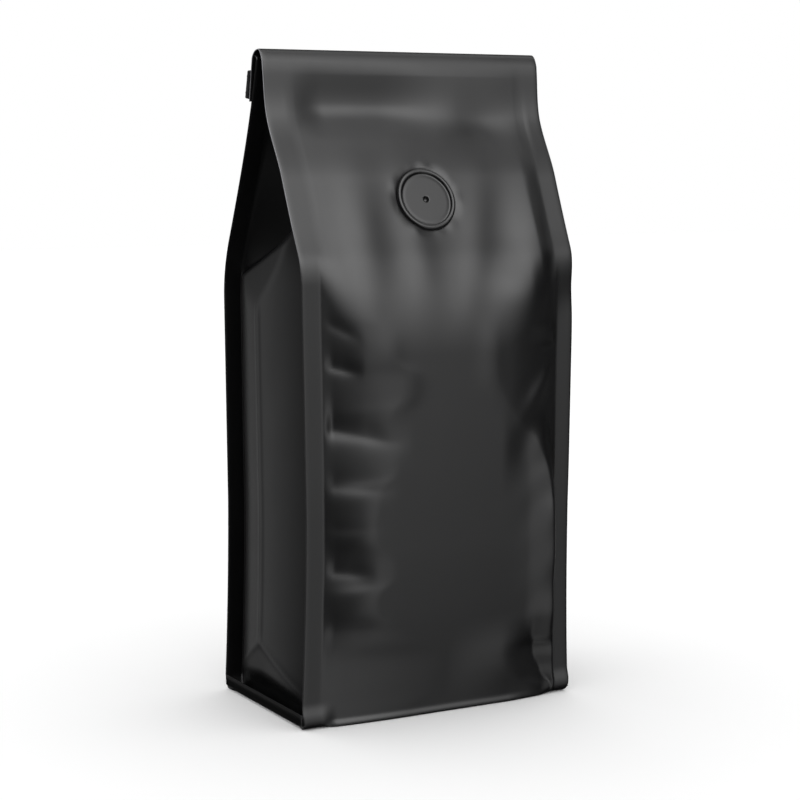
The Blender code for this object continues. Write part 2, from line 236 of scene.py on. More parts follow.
# the foot of that ridge: distance from the seal, height, and where the valley beside it lies
footRidgeAt = ((0.000, 0.0004), (0.003, 0.0005), (0.010, 0.0012), (0.017, 0.0020), (0.026, 0.0032), (0.036, 0.0034))
footRidgeHeight = ((0.000, 0.0004), (0.003, 0.0009), (0.010, 0.0022), (0.017, 0.0034), (0.026, 0.0048),
                   (0.036, 0.0060))
footValleyAt = ((0.000, 0.0008), (0.003, 0.0014), (0.010, 0.0062), (0.017, 0.0094), (0.026, 0.0110), (0.036, 0.0110))
# soft upright folds over the shoulder: x, half width, how far out, lean
shoulderFolds = ((-0.0290, 0.0085, 0.0010, 0.09), (-0.0085, 0.0065, 0.0006, 0.03), (0.0140, 0.0065, 0.0005, 0.30),
                 (0.0395, 0.0100, 0.0020, 0.22))
# where the film hangs over at the right shoulder, and a shallow dent under the folded top:
# x, half width, height, half height, how far out
softDents = ((0.0290, 0.0095, 0.1470, 0.0095, 0.0009), (0.0300, 0.0120, 0.2030, 0.0075, -0.0009))
# hollows along the right seal: depth, where they fade out from it, height and half height, how soon they start
rightHollows = ((0.0014, (0.0130, 0.0260), (0.0920, 0.0130), 0.0030),
                (0.0006, (0.0040, 0.0130), (0.1490, 0.0090), 0.0045))


def valleys(d, z, rows):
    out = 0 * z * d
    for height, climb, length, depth, above, below in rows:
        u = z - height - climb * d
        spread = np.where(u > 0, above, below)
        shape = np.exp(1 - np.sqrt(1 + (u / spread) ** 2 * 4))
        along = smoothStep(d, 0.0, pouch["valleyStart"]) * (1 - smoothStep(d, pouch["valleyFade"] * length, length))
        out = out - depth * shape * along
    return out


def folds(d, z, rows):
    out = 0 * z * d
    longFlank, shortFlank = pouch["foldFlanks"]  # towards the middle of the panel, and down to the seal
    for height, peak, tall, wide, climb, stand in rows:
        across = np.where(d > peak, bump(d, peak, longFlank * wide), bump(d, peak, shortFlank * wide))
        along = bump(z - climb * (d - peak), height, tall)
        out = out + stand * along * across * smoothStep(d, 0.0, pouch["foldStart"])
    return out


valve = dict(
    radius=0.0112, discRadius=0.0095, discTop=0.0001, rimTop=0.0009, seat=-0.0016,
    pinhole=0.0011, pinholeDepth=0.0015, steps=96,
    # the film round it: how much the lean of the slope shortens heights, the seat's inner edge,
    # a fine groove beside the rim, and wrinkles as count, start and size
    shortened=0.92, seatFrom=0.0098, groove=0.00025, wrinkleAt=(0.0122, 0.0016),
    wrinkles=((5, 0.4, 0.00010), (9, 1.9, 0.00008), (14, 0.8, 0.00004)),
)
valveX = (valveLow.x + valveHigh.x) / 2
valveZ = (valveLow.z + valveHigh.z) / 2


def aroundValve(x, z):  # the film sinks under the valve, with small wrinkles round its rim
    r = np.hypot(x - valveX, (z - valveZ) / valve["shortened"])
    turn = np.arctan2(z - valveZ, x - valveX)
    seat = -pouch["seatDepth"] * (1 - smoothStep(r, valve["seatFrom"], valve["radius"]))
    ripple = sum(size * np.sin(count * turn + start) for count, start, size in valve["wrinkles"])
    return seat + ripple * bump(r, *valve["wrinkleAt"]) - valve["groove"] * bump(r, valve["radius"] + 0.0003, 0.0012)


def rightSide(x, z, d):
    # it rises to a low ridge beside its seal; a valley beside the foot of the ridge draws the corner in
    near, far = pouch["riseFade"]
    rise = byHeight(z, rightRise) * (1 - smoothStep(d, near, far)) * smoothStep(d, 0.0, near)
    full = swell(x, z, pouch["frontFill"], frontFalls)
    ridgeAt, ridgeHeight, valleyAt = (byHeight(z, rows, 0.004) for rows in (footRidgeAt, footRidgeHeight, footValleyAt))
    low = ridgeHeight * (1 - np.clip(1 - d / ridgeAt, 0, 1) ** pouch["fallShape"])
    low = low - pouch["footFall"] * np.clip(d - ridgeAt, 0, valleyAt - ridgeAt)
    bulge = pouch["cornerBulge"] * (1 - smoothStep(z, *pouch["cornerBulgeTop"]))
    foot = mix(pouch["cornerBulgeFoot"], 1, smoothStep(z, 0.0, pouch["cornerBulgeRise"]))
    bulge = bulge * foot * (1 - smoothStep(d, *pouch["cornerBulgeSide"]))
    beyond = swell(0 * x, z, pouch["frontFill"], frontFalls) + bulge
    low = softMin(low + pouch["cornerSlope"] * np.clip(d - valleyAt, 0, None), beyond, pouch["cornerBlend"])
    out = mix(low, full + rise, smoothStep(z, *pouch["cornerTop"])) - full
    for depth, fade, at, start in rightHollows:
        out = out - depth * (1 - smoothStep(d, *fade)) * bump(z, *at) * smoothStep(d, 0.0, start)
    return out


def shoulderRelief(x, z, d):
    below, above = pouch["uprightReach"]
    upright = bump(z, pouch["uprightAt"], np.where(z < pouch["uprightAt"], below, above)) * smoothStep(d, 0.0, 0.0075)
    for centre, wide, stand, lean in shoulderFolds:
        yield stand * bump(x - lean * (z - pouch["leanFrom"]), centre, wide) * upright
    for centre, wide, height, tall, stand in softDents:
        yield stand * bump(x, centre, wide) * bump(z, height, tall)


def frontRelief(x, z):
    d = sealRoot(z) - np.abs(x)
    inside = smoothStep(d, 0.0, 0.006)
    pressed = topValley(z) * smoothStep(z, *pouch["panelPressFrom"])
    press = pouch["panelPressFade"] * smoothStep(x, *pouch["panelPressSide"]) - pouch["panelPress"]
    out = crown(x, z) + pressed * press * smoothStep(d, 0.0, 0.015)
    out = out + np.where(x < 0, valleys(d, z, pulledValleys), folds(d, z, standingFolds))
    for form in shoulderRelief(x, z, d):
        out = out + form
    out = out + np.where(x > 0, rightSide(x, z, d), 0.0)
    # low over the base the panel has its own small roll in place of the flare of the seals
    out = out + (edgeInset(z, pouch["baseEdgeRadius"]) - edgeInset(z, pouch["panelEdgeRadius"]) - seamFlare(z)) * inside
    roll = pouch["baseRoll"] * (1 - smoothStep(z, *pouch["baseRollTop"])) * inside
    out = out + roll * np.where(x > 0, smoothStep(d, *pouch["baseRollRight"]), 1.0)
    line = pouch["sealLine"] * bump(d, -0.0002, 0.0009) * (1 - smoothStep(z, *pouch["sealLineTop"]))
    return out + line + aroundValve(x, z)


def frontSurface(x, z):
    return frontPlane(z, swell(x, z, pouch["frontFill"], frontFalls)) - frontRelief(x, z)


def backRelief(x, z):
    d = sealRoot(z) - np.abs(x)
    relief = np.where(x < 0, folds(d, z + 0.004, standingFolds), valleys(d, z - 0.006, pulledValleys))
    return crown(x, z) + relief * 0.8


def gussetShape(z, towards):
    # x, and depth from 0 at the seal to 1 at the middle, along half a gusset: one row of points for each height
    t = (np.arange(1, pouch["gussetPoints"] + 1) / pouch["gussetPoints"])[None, :]
    zz = z[:, None]
    root, half = sealRoot(zz), (backPlane(zz) - frontPlane(zz)) / 2
    bendX, bendY = pouch["frontBend"] if towards > 0 else pouch["backBend"]
    if towards > 0:  # fuller towards the foot
        full = 1 - smoothStep(zz, *pouch["footBendTop"])
        bendX, bendY = mix(bendX, pouch["footBend"][0], full), mix(bendY, pouch["footBend"][1], full)
    share = bendY * 2 * t * (1 - t) + t**2 + 0 * zz
    out = pouch["gussetSwell"] * (bendX * 2 * t * (1 - t) + t**2) + 0 * zz
    # it rolls under over the base, with a folded triangle above the roll
    rolled = (zz - pouch["gussetRollFrom"] * pouch["baseSealHeight"]) / pouch["gussetRoll"]
    held = pouch["gussetSwell"] * np.clip(rolled, 0, 3)
    out = np.where(zz < pouch["gussetRollTop"], softMin(out, held, pouch["gussetRollBlend"]), out)
    triangle = pouch["gussetApex"] - pouch["apexFall"] * (1 - share) * half - zz
    inside = 0.5 * (triangle + np.sqrt(triangle**2 + 0.0006**2)) * smoothStep(zz, 0.004, 0.009)
    line = pouch["apexLine"] * bump(triangle, 0.0, 0.0011) * smoothStep(share, 0.1, 0.3)
    out = out - pouch["apexDepth"] * inside + line
    ridge = pouch["creaseRidge"] * bump((1 - share) * half, 0.0, 0.0009)
    out = out + ridge * smoothStep(zz, *pouch["creaseRidgeFrom"])
    # above, a flat facet leans in to a slanting fold, and over that fold the film is tucked in
    below = pouch["tuckHeight"] + pouch["tuckClimb"] * half * towards * (1 - share) - zz
    out = softMin(out, pouch["tuckOut"] + pouch["facetSlope"] * below, pouch["facetBlend"])
    steep = mix(*pouch["tuckSlope"], smoothStep(towards * (1 - share), *pouch["tuckTurn"]))
    out = softMin(out, pouch["tuckOut"] + steep * below, pouch["tuckBlend"])
    deep = np.sqrt(np.maximum(pouch["gussetHalfFilm"] ** 2 - half**2, 0))
    return root - softMin(-out, deep * share, 0.0008) * smoothStep(share, 0.0, 0.02), share


def panelShare(count):  # 0 at the middle to 1 at the seal, closer together near the seal
    t = np.arange(count) / (count - 1)
    return mix(t, np.sin(t * math.pi / 2), 0.6)


finSteps = np.array([0.12, 0.3, 0.5, 0.7, 0.88, 0.96, 0.99])  # across a corner seal, closer at its rim


def halfRows(outer, inner, widthZ, side, nearGusset, farGusset):
    # outer and inner hold y, z of the outsides of the front and back film, with the gusset between them
    root, edge = sealRoot(widthZ)[:, None], halfWidth(widthZ)[:, None]
    gap = np.linalg.norm(inner - outer, axis=1)[:, None]
    through = ((inner - outer) / gap)[:, None, :]
    film = np.minimum(pouch["filmThickness"], 0.35 * gap)
    frontX = root * panelShare(pouch["frontPoints"])[None, :]
    backX = root * panelShare(pouch["backPoints"])[None, ::-1]
    finX = mix(root, edge, finSteps[None, :])
    rim = film * np.array([0, 0, 0, 0, 0, 0.10, 0.28])[None, :]  # rounds the cut edge
    tipX, tip = edge + np.zeros((1, 2)), film * np.array([0.4, 0.6])[None, :]
    nearDepth = film + (gap / 2 - film) * nearGusset[1]
    farDepth = gap - film - (gap / 2 - film) * farGusset[1]
    xs = [frontX, finX, tipX, finX[:, ::-1], root, nearGusset[0]]
    depths = [0 * frontX, rim, tip, film - rim[:, ::-1], film, nearDepth]
    xs += [farGusset[0][:, -2::-1], root, finX, tipX, finX[:, ::-1], backX]
    depths += [farDepth[:, -2::-1], gap - film, gap - film + rim, gap - tip[:, ::-1], gap - rim[:, ::-1]]
    depths.append(gap + 0 * backX)
    x, depth = np.concatenate(xs, 1), np.concatenate(depths, 1)
    return np.concatenate([side * x[..., None], outer[:, None, :] + through * depth[..., None]], -1)


def bodyHalf(z, side):
    outer, inner = np.stack([frontPlane(z), z], 1), np.stack([backPlane(z), z], 1)
    rows = halfRows(outer, inner, z, side, gussetShape(z, 1), gussetShape(z, -1))
    front, back = rows[:, :pouch["frontPoints"]], rows[:, -pouch["backPoints"]:]
    zz = z[:, None]
    if side > 0:  # just under the shoulder this seal is bent back a little
        seam = rows[:, pouch["frontPoints"]:pouch["frontPoints"] + 2 * len(finSteps) + 2]
        bend = pouch["seamBend"] * (seam[..., 0] - sealRoot(zz)) / pouch["sealWidth"]
        seam[..., 1] += bend * bump(zz, *pouch["seamBendAt"])
    front[..., 1] = frontSurface(front[..., 0], zz)
    x = back[..., 0]
    back[..., 1] = backPlane(zz, swell(x, zz, pouch["backFill"], backFalls)) + backRelief(x, zz)
    return rows


def baseHalf(side):
    # the outer face of the base seal, over its thin top edge, down into the groove behind it and to the gusset;
    # over holds the steps past the top edge, as walls inward (None where the gusset starts) and height
    height, wall, rounded = pouch["baseSealHeight"], pouch["baseWall"], pouch["baseEdgeRadius"]
    over = ((0.25, 0.0001), (0.75, 0.0001), (1.0, -0.0002), (1.1, -pouch["baseGroove"]), (None, -pouch["baseGroove"]),
            (None, 0.0001 - pouch["baseGroove"]))
    z = np.concatenate([np.linspace(0, rounded, 6)[:-1], np.linspace(rounded, height - 0.0001, 8), [height],
                        height + pouch["baseLedge"] * np.linspace(0.1, 0.9, len(over))])
    rows = bodyHalf(z, side)
    first = pouch["frontPoints"] + len(finSteps) + 2
    last = rows.shape[1] - pouch["backPoints"] - len(finSteps) - 2
    share = np.linspace(0.015, 0.985, last - first)
    for index in range(len(z)):
        row, step = rows[index], index - len(z) + len(over)
        edge = float(halfWidth(z[index]))
        inward, drop = over[step] if step >= 0 else (0.0, 0.0)
        if inward is not None:
            row[first:last, 0] = side * (edge - inward * wall)
        if step < len(over) - 1:
            row[first:last, 1] = mix(row[first - 1, 1], row[last, 1], share)
        if step >= 0:
            row[first:last, 2] = height + drop
        lean = pouch["baseSealLean"] * max(0.0, 1 - z[index] / height)
        row[:, 0] *= 1 - lean / edge
        along = np.minimum(row[first:last, 1] - row[first - 1, 1], row[last, 1] - row[first:last, 1])
        row[first:last, 0] -= side * pouch["baseSealLeanMiddle"] * lean * smoothStep(along, 0.0, 0.004)
    return rows


def foldHalf(side):
    # up the front, over and down the back in two quarter curves, then the flap
    crest = (pouch["crestY"], pouchHigh.z)
    start = (float(frontPlane(foldTopHeight)), foldTopHeight)
    end = (pouch["foldY"] + pouch["foldRadius"], foldTopHeight)
    lead = (start[0] + pouch["crestLead"] * pouch["foldRadius"], crest[1])
    s = np.linspace(0, 1, pouch["foldSteps"] // 2)[:, None]
    up = np.array(start) * (1 - s) ** 2 + np.array(lead) * 2 * s * (1 - s) + np.array(crest) * s**2
    turn = np.linspace(0, math.pi / 2, pouch["foldSteps"] // 2 + 1)[1:]
    over = np.stack([crest[0] + (end[0] - crest[0]) * np.sin(turn), end[1] + pouch["foldRadius"] * np.cos(turn)], 1)
    outer = np.concatenate([up, over])
    turn = np.linspace(0, math.pi, len(outer))
    inner = np.stack([pouch["innerFoldY"] - pouch["innerFoldRadius"] * np.cos(turn),
                      foldTopHeight + pouch["innerFoldRise"] + pouch["innerFoldRadius"] * np.sin(turn)], 1)
    t = np.linspace(0, 1, pouch["flapRows"] + 1)[1:]
    flapOuter = np.stack([end[0] + pouch["flapDrift"] * t, foldTopHeight - pouch["flapLength"] * t], 1)
    flapInner = flapOuter - [pouch["flapThickness"], 0]
    outer, inner = np.concatenate([outer, flapOuter]), np.concatenate([inner, flapInner])
    width = np.full(len(outer), foldTopHeight)
    depth = np.concatenate([np.linspace(*pouch["foldDepth"], pouch["foldSteps"]),
                            np.full(pouch["flapRows"], pouch["flapDepth"])])
    t = (np.arange(1, pouch["gussetPoints"] + 1) / pouch["gussetPoints"])[None, :]
    gusset = (sealRoot(width)[:, None] - depth[:, None] * t, t + 0 * depth[:, None])
    return halfRows(outer, inner, width, side, gusset, gusset)


def fullRings(maker):
    right, left = maker(1), maker(-1)
    return np.concatenate([right, left[:, -2:0:-1]], 1)


def pouchRings():
    body = np.concatenate([
        np.linspace(pouch["baseSealHeight"] + pouch["baseLedge"], 0.012, 11)[:-1],
        np.linspace(0.012, pouch["gussetTop"], pouch["bodyRows"])])
    return np.concatenate([fullRings(baseHalf), fullRings(lambda side: bodyHalf(body, side)), fullRings(foldHalf)])


def meshFromFaces(name, points, faces):
    mesh = bpy.data.meshes.new(name)
    mesh.from_pydata(points, [], faces)
    mesh.update()
    return mesh


def ringMesh(name, rings):
    levels, count = rings.shape[:2]
    i = np.arange(count)
    j = (i + 1) % count
    quads = [np.stack([level * count + i, level * count + j, (level + 1) * count + j, (level + 1) * count + i], 1)
             for level in range(levels - 1)]
    caps = [list(range(count))[::-1], [(levels - 1) * count + k for k in range(count)]]
    return meshFromFaces(name, rings.reshape(-1, 3).tolist(), np.concatenate(quads).tolist() + caps)


def markCutEdgeAndHighlight(mesh, rings):  # the cut edge of the front seals: faintly pale in itself, with a painted highlight along it that is strongest on the slope over the shoulder
    count = rings.shape[1]
    tip = pouch["frontPoints"] + len(finSteps)
    mark = np.zeros(rings.shape[:2])
    least, more = pouch["cutEdgeAndHighlightShown"]
    # painted highlight on the cut edge, rising with height over the shoulder slope, over a faint pale edge everywhere
    for index, strength in ((tip - 1, 0.6), (tip, 1.0), (tip + 1, 1.0), (tip + 2, 0.6)):
        shown = smoothStep(rings[:, index, 2], *pouch["edgeHighlightHeights"]) * more + least
        mark[:, index] = mark[:, -index] = strength * shown
    attribute = mesh.attributes.new("cutEdgeAndHighlight", "FLOAT", "POINT")
    attribute.data.foreach_set("value", mark.ravel().astype(np.float32))


def addPiece(name, mesh, material):
    obj = bpy.data.objects.new(name, mesh)
    scene.collection.objects.link(obj)
    if not mesh.materials:
        mesh.materials.append(material)
    mesh.shade_smooth()
    return obj


# valve: a shallow dish with a raised rim, turned round its own axis

def valveProfile():
    v = valve
    middle, half = (v["radius"] + v["discRadius"]) / 2, (v["radius"] - v["discRadius"]) / 2
    points = [(0, v["discTop"] - v["pinholeDepth"]), (0.85 * v["pinhole"], v["discTop"] - 0.0006),
              (v["pinhole"], v["discTop"] - 0.00005), (v["pinhole"] + 0.0001, v["discTop"])]
    points += [(r, v["discTop"]) for r in np.linspace(v["pinhole"] + 0.0004, v["discRadius"] - 0.0011, 10)]
    points += [(v["discRadius"] - 0.0006, v["discTop"] - 0.00006), (v["discRadius"] - 0.0002, v["discTop"] - 0.00004)]
    for turn in np.linspace(0.12, math.pi - 0.12, 15):
        rise = (v["rimTop"] - v["discTop"]) * math.sin(turn) ** 0.8
        points.append((middle - half * math.cos(turn), v["discTop"] + rise))
    return points + [(v["radius"], -0.0002), (v["radius"], v["seat"]), (0, v["seat"])]


def valveMesh():
    step = 0.004
    here, above, below = (float(frontSurface(valveX, z) + aroundValve(valveX, z))
                          for z in np.array([valveZ, valveZ + step, valveZ - step]))
    lean = math.atan2(above - below, 2 * step)
    place = Matrix.Translation((valveX, here, valveZ)) @ Matrix.Rotation(math.radians(90) - lean, 4, "X")
    profile, steps = valveProfile(), valve["steps"]
    points = [(0, 0, profile[0][1])]
    for r, h in profile[1:-1]:
        points += [(r * math.cos(a), r * math.sin(a), h) for a in np.arange(steps) * 2 * math.pi / steps]
    points.append((0, 0, profile[-1][1]))
    faces = [(0, 1 + k, 1 + (k + 1) % steps) for k in range(steps)]
    for ring in range(len(profile) - 3):
        a, b = 1 + ring * steps, 1 + (ring + 1) * steps
        faces += [(a + k, b + k, b + (k + 1) % steps, a + (k + 1) % steps) for k in range(steps)]
    a, end = 1 + (len(profile) - 3) * steps, len(points) - 1
    faces += [(end, a + (k + 1) % steps, a + k) for k in range(steps)]
    mesh = meshFromFaces("valveDisc", points, faces)
    mesh.transform(place)
    return mesh


# tin tie: a flat cover over two wires, swept along a line with a hairpin bend at each end

tie = dict(height=0.0094, thickness=0.0007, wire=0.00045, wireApart=0.0056, bendRadius=0.00145, endLength=0.0048,
           tilt=math.radians(13), inset=0.0012, edgeRound=0.4, edgeSteps=3, bendSteps=14, wireSteps=14)


def tiePath():
    reach = (tieHigh.x - tieLow.x) / 2 - tie["inset"]
    r = tie["bendRadius"]
    bendX = reach - r
    half = [(bendX + r * math.sin(a), r - r * math.cos(a)) for a in np.linspace(0, math.pi, tie["bendSteps"])]
    half += [(reach - 0.6 * tie["endLength"], 2 * r), (reach - tie["endLength"], 2 * r)]
    middle = [(x, 0.0) for x in np.linspace(0, bendX, 12)[:-1]]
    right = middle + half
    return [(-x, y) for x, y in right[:0:-1]] + right


def tieTree(material):
    tree = bpy.data.node_groups.new("tieSweep", "GeometryNodeTree")
    tree.interface.new_socket("Geometry", in_out="INPUT", socket_type="NodeSocketGeometry")
    sizes = {}
    for label in ("Height", "Thickness", "Wire Radius", "Wires Apart"):
        sizes[label] = tree.interface.new_socket(label, in_out="INPUT", socket_type="NodeSocketFloat")
    tree.interface.new_socket("Geometry", in_out="OUTPUT", socket_type="NodeSocketGeometry")
    new, link = tree.nodes.new, tree.links.new
    source, result = new("NodeGroupInput"), new("NodeGroupOutput")
    normals = new("GeometryNodeSetCurveNormal")
    normals.mode = "Z_UP"
    link(source.outputs["Geometry"], normals.inputs[0])
    strip = new("GeometryNodeCurvePrimitiveQuadrilateral")
    link(source.outputs["Height"], strip.inputs["Height"])
    link(source.outputs["Thickness"], strip.inputs["Width"])
    rounded = new("GeometryNodeFilletCurve")
    rounded.mode = "POLY"
    rounded.inputs["Count"].default_value = tie["edgeSteps"]
    link(strip.outputs[0], rounded.inputs["Curve"])
    edge = new("ShaderNodeMath")
    edge.operation = "MULTIPLY"
    edge.inputs[1].default_value = tie["edgeRound"]
    link(source.outputs["Thickness"], edge.inputs[0])
    link(edge.outputs[0], rounded.inputs["Radius"])
    wire = new("GeometryNodeCurvePrimitiveCircle")
    wire.inputs["Resolution"].default_value = tie["wireSteps"]
    link(source.outputs["Wire Radius"], wire.inputs["Radius"])
    profiles = new("GeometryNodeJoinGeometry")
    for sign in (0.5, -0.5):
        offset = new("ShaderNodeMath")
        offset.operation = "MULTIPLY"
        offset.inputs[1].default_value = sign
        link(source.outputs["Wires Apart"], offset.inputs[0])
        vector = new("ShaderNodeCombineXYZ")
        link(offset.outputs[0], vector.inputs["Y"])
        move = new("GeometryNodeTransform")
        link(wire.outputs[0], move.inputs["Geometry"])
        link(vector.outputs[0], move.inputs["Translation"])
        link(move.outputs[0], profiles.inputs[0])
    link(rounded.outputs[0], profiles.inputs[0])
    sweep = new("GeometryNodeCurveToMesh")
    sweep.inputs["Fill Caps"].default_value = True
    link(normals.outputs[0], sweep.inputs["Curve"])
    link(profiles.outputs[0], sweep.inputs["Profile Curve"])
    realize, paint = new("GeometryNodeRealizeInstances"), new("GeometryNodeSetMaterial")
    paint.inputs["Material"].default_value = material
    link(sweep.outputs[0], realize.inputs[0])
    link(realize.outputs[0], paint.inputs[0])
    link(paint.outputs[0], result.inputs[0])
    return tree, sizes


def tieMesh(material):
    curve = bpy.data.curves.new("tiePath", "CURVE")
    curve.dimensions = "3D"
    points = tiePath()
    spline = curve.splines.new("POLY")
    spline.points.add(len(points) - 1)
    for point, (x, y) in zip(spline.points, points):
        point.co = (x, y, 0, 1)
    carrier = bpy.data.objects.new("tiePath", curve)
    scene.collection.objects.link(carrier)
    tree, sizes = tieTree(material)
    modifier = carrier.modifiers.new("sweep", "NODES")
    modifier.node_group = tree
    values = {"Height": tie["height"], "Thickness": tie["thickness"], "Wire Radius": tie["wire"],
              "Wires Apart": tie["wireApart"]}
    for label, value in values.items():
        modifier[sizes[label].identifier] = value
    mesh = bpy.data.meshes.new_from_object(carrier.evaluated_get(bpy.context.evaluated_depsgraph_get()))
    bpy.data.objects.remove(carrier)
    half, tilt = tie["height"] / 2, tie["tilt"]
    place = Matrix.Translation((0, tieLow.y + half * math.sin(tilt) + tie["wire"], tieLow.z + half * math.cos(tilt)))
    mesh.transform(place @ Matrix.Rotation(tilt, 4, "X"))
    mesh.name = "tieStrip"
    return mesh


# materials

def newMaterial(name):
    material = bpy.data.materials.new(name)
    material.use_nodes = True
    tree = material.node_tree
    return material, tree, tree.nodes["Principled BSDF"]


satin = dict(
    grainDetail=3.0, cloudDetail=4.0, grainHeight=0.7,
    streakScale=220.0, streakDetail=2.0, streakStretch=(1.0, 1.0, 0.12), streakRough=0.5, streakHeight=0.3,
    scuffScale=700.0, scuffDetail=5.0, scuffFrom=0.62, scuffGain=6.0, scuffRough=0.25, scuffBright=4.0,
    patchFrom=0.45, evenLevel=0.75, edgeAndHighlightLeast=0.45, cloudLeast=0.75, cloudBright=0.5,
)


def satinGroup():  # fine grain, soft unevenness and small scuffs, shared by every black surface, and where an edge attribute is given a pale cut edge with a painted highlight along it
    tree = bpy.data.node_groups.new("satinSurface", "ShaderNodeTree")
    new, link = tree.nodes.new, tree.links.new
    for label in ("Grain Scale", "Cloud Scale", "Scuffs", "Roughness", "Roughness Change", "Edge And Highlight"):
        tree.interface.new_socket(label, in_out="INPUT", socket_type="NodeSocketFloat")
    for label in ("Color", "Edge And Highlight Color"):
        tree.interface.new_socket(label, in_out="INPUT", socket_type="NodeSocketColor")
    tree.interface.new_socket("Color", in_out="OUTPUT", socket_type="NodeSocketColor")
    for label in ("Roughness", "Height"):
        tree.interface.new_socket(label, in_out="OUTPUT", socket_type="NodeSocketFloat")
    source, result, coords = new("NodeGroupInput"), new("NodeGroupOutput"), new("ShaderNodeTexCoord")

    def noise(scale, detail, stretch=None):
        node = new("ShaderNodeTexNoise")
        node.inputs["Detail"].default_value = detail
        if isinstance(scale, float):
            node.inputs["Scale"].default_value = scale
        else:
            link(scale, node.inputs["Scale"])
        mapping = new("ShaderNodeMapping")
        mapping.inputs["Scale"].default_value = stretch or (1, 1, 1)
        link(coords.outputs["Object"], mapping.inputs["Vector"])
        link(mapping.outputs["Vector"], node.inputs["Vector"])
        return node.outputs["Fac"]

    def calc(operation, a, b, clamp=False):
        node = new("ShaderNodeMath")
        node.operation, node.use_clamp = operation, clamp
        for socket, value in zip(node.inputs, (a, b)):
            if isinstance(value, float):
                socket.default_value = value
            else:
                link(value, socket)
        return node.outputs[0]

    grain = noise(source.outputs["Grain Scale"], satin["grainDetail"])
    clouds = noise(source.outputs["Cloud Scale"], satin["cloudDetail"])
    streaks = noise(satin["streakScale"], satin["streakDetail"], satin["streakStretch"])
    scuffs = calc("SUBTRACT", noise(satin["scuffScale"], satin["scuffDetail"]), satin["scuffFrom"], True)
    scuffs = calc("MULTIPLY", scuffs, satin["scuffGain"], True)
    patches = calc("SUBTRACT", clouds, satin["patchFrom"], True)
    scuffs = calc("MULTIPLY", calc("MULTIPLY", scuffs, patches), source.outputs["Scuffs"])
    uneven = calc("ADD", clouds, calc("MULTIPLY", streaks, satin["streakRough"]))
    uneven = calc("SUBTRACT", uneven, satin["evenLevel"])
    rough = calc("ADD", source.outputs["Roughness"], calc("MULTIPLY", uneven, source.outputs["Roughness Change"]))
    rough = calc("ADD", rough, calc("MULTIPLY", scuffs, satin["scuffRough"]), True)
    link(rough, result.inputs["Roughness"])
    height = calc("MULTIPLY", grain, satin["grainHeight"])
    height = calc("ADD", height, calc("MULTIPLY", streaks, satin["streakHeight"]))
    link(calc("ADD", height, scuffs), result.inputs["Height"])
    # mix in the pale cut edge and the painted highlight along it
    tone = new("ShaderNodeMix")
    tone.data_type = "RGBA"
    edge = calc("MULTIPLY", source.outputs["Edge And Highlight"], calc("ADD", satin["edgeAndHighlightLeast"], clouds), True)
    link(edge, tone.inputs["Factor"])
    link(source.outputs["Color"], tone.inputs["A"])
    link(source.outputs["Edge And Highlight Color"], tone.inputs["B"])
    shade = new("ShaderNodeHueSaturation")
    link(tone.outputs["Result"], shade.inputs["Color"])
    cloudy = calc("ADD", satin["cloudLeast"], calc("MULTIPLY", clouds, satin["cloudBright"]))
    link(calc("ADD", cloudy, calc("MULTIPLY", scuffs, satin["scuffBright"])), shade.inputs["Value"])
    link(shade.outputs["Color"], result.inputs["Color"])
    return tree


satinSurface = satinGroup()


def satinMaterial(name, finish, edgeAndHighlightAttribute=None):
    material, tree, shader = newMaterial(name)
    new, link = tree.nodes.new, tree.links.new
    group, relief = new("ShaderNodeGroup"), new("ShaderNodeBump")
    group.node_tree = satinSurface
    for label, value in finish.items():
        if label in group.inputs:
            group.inputs[label].default_value = value
    if edgeAndHighlightAttribute:
        attribute = new("ShaderNodeAttribute")
        attribute.attribute_name = edgeAndHighlightAttribute
        link(attribute.outputs["Fac"], group.inputs["Edge And Highlight"])
    relief.inputs["Strength"].default_value = finish["bump"]
    relief.inputs["Distance"].default_value = finish["bumpDepth"]
    link(group.outputs["Height"], relief.inputs["Height"])
    link(relief.outputs["Normal"], shader.inputs["Normal"])
    link(group.outputs["Color"], shader.inputs["Base Color"])
    link(group.outputs["Roughness"], shader.inputs["Roughness"])
    return material


# the film's edge colour paints the pale cut edge of the seals and a highlight along it
filmMaterial = satinMaterial("blackFilm", {
    "Color": (0.0020, 0.0020, 0.0023, 1), "Edge And Highlight Color": (0.35, 0.35, 0.37, 1),
    "Grain Scale": 1500.0, "Cloud Scale": 40.0, "Scuffs": 0.10,
    "Roughness": 0.36, "Roughness Change": 0.10, "bump": 0.25, "bumpDepth": 0.00002}, "cutEdgeAndHighlight")
valveMaterial = satinMaterial("valvePlastic", {
    "Color": (0.0024, 0.0024, 0.0027, 1), "Edge And Highlight Color": (0.01, 0.01, 0.01, 1),
    "Grain Scale": 2600.0, "Cloud Scale": 160.0, "Scuffs": 0.06,
    "Roughness": 0.33, "Roughness Change": 0.08, "bump": 0.2, "bumpDepth": 0.00002})
tieMaterial = satinMaterial("tieCover", {
    "Color": (0.004, 0.004, 0.0045, 1), "Edge And Highlight Color": (0.02, 0.02, 0.02, 1),
    "Grain Scale": 1900.0, "Cloud Scale": 120.0, "Scuffs": 0.30,
    "Roughness": 0.48, "Roughness Change": 0.12, "bump": 0.45, "bumpDepth": 0.00003})
print("materials:", filmMaterial.name, valveMaterial.name, tieMaterial.name)


# build

rings = pouchRings()
pouchPiece = addPiece("pouchFilm", ringMesh("pouchFilm", rings), filmMaterial)
markCutEdgeAndHighlight(pouchPiece.data, rings)
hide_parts("pouch")
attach(pouchPiece, "root")
print("pouch:", len(pouchPiece.data.polygons), "faces")

valvePiece = addPiece("valveDisc", valveMesh(), valveMaterial)
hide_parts("valve")
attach(valvePiece, "root")
print("valve:", len(valvePiece.data.polygons), "faces")

tiePiece = addPiece("tieStrip", tieMesh(tieMaterial), tieMaterial)
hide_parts("tin_tie")
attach(tiePiece, "root")
print("tie:", len(tiePiece.data.polygons), "faces")


# stage: floor, world, camera

